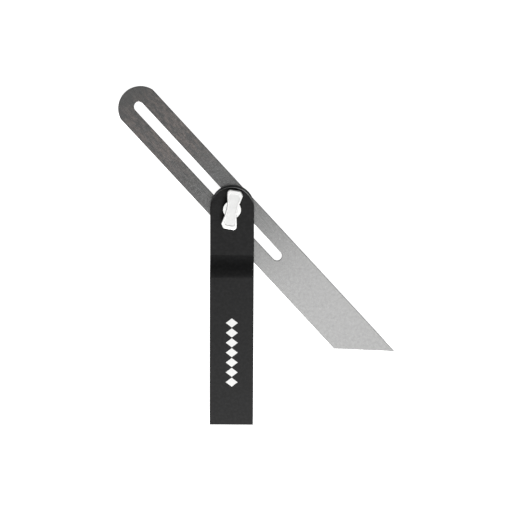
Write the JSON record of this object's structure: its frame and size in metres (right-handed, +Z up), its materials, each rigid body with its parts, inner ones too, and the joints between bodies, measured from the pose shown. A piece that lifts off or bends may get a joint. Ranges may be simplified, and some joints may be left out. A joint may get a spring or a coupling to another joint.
{
  "type": "sliding bevel",
  "caption": "Carpenter's sliding bevel: slotted steel blade that slides and swings in a two-cheek black aluminium stock and locks with a small lever.",
  "frame": {"origin": "where the clamp bolt's axis meets the flat back face of the stock, which the tool lies on", "axes": "+Z up through the stock's thickness towards the lock lever, +Y from the butt towards the round head, +X out of the stock's right-hand fence edge"},
  "size_m": [0.1481, 0.181, 0.0155],
  "materials": {
    "stock_black": "satin black anodised",
    "blade_steel": "satin stainless, fine grain",
    "lever_zinc": "bright satin plated casting",
    "plated_steel": "bright zinc plated",
    "fastener_black": "black oxide",
    "friction_fibre": "matt",
    "insert_brass": "turned",
    "mark_white": "screen-printed ink"
  },
  "bodies": {
    "stock": {"front_cheek": "stock_black", "back_cheek": "stock_black", "butt_spacer": "stock_black", "cheek_screws": "fastener_black", "clamp_bolt": "plated_steel", "spring_washer": "plated_steel"},
    "swivel": {"blade_washer_front": "friction_fibre", "blade_washer_back": "friction_fibre"},
    "blade": {"blade": "blade_steel"},
    "clamp_washer": {"flat_washer": "plated_steel"},
    "lever": {"lock_lever": "lever_zinc", "lever_insert": "insert_brass"}
  },
  "joints": [
    {"name": "blade_swing", "type": "hinge", "parent": "stock", "child": "swivel", "pos_m": [0, 0, 0.0056], "axis": [0, 0, 1], "range_deg": [-29, 303]},
    {"name": "blade_slide", "type": "slide", "parent": "swivel", "child": "blade", "axis": [0.6794, -0.7337, 0], "range_m": [-0.0351, 0.0724]},
    {"name": "washer_lift", "type": "slide", "parent": "stock", "child": "clamp_washer", "axis": [0, 0, 1], "range_m": [0, 0.0004], "deforming": ["spring_washer"]},
    {"name": "lever_turn", "type": "hinge", "parent": "clamp_washer", "child": "lever", "pos_m": [0, 0, 0.0138], "axis": [0, 0, 1], "range_deg": [0, 180]}
  ],
  "couplings": [
    {"joint": "lever_turn", "follows": "washer_lift", "rad_per_m": 7854}
  ]
}
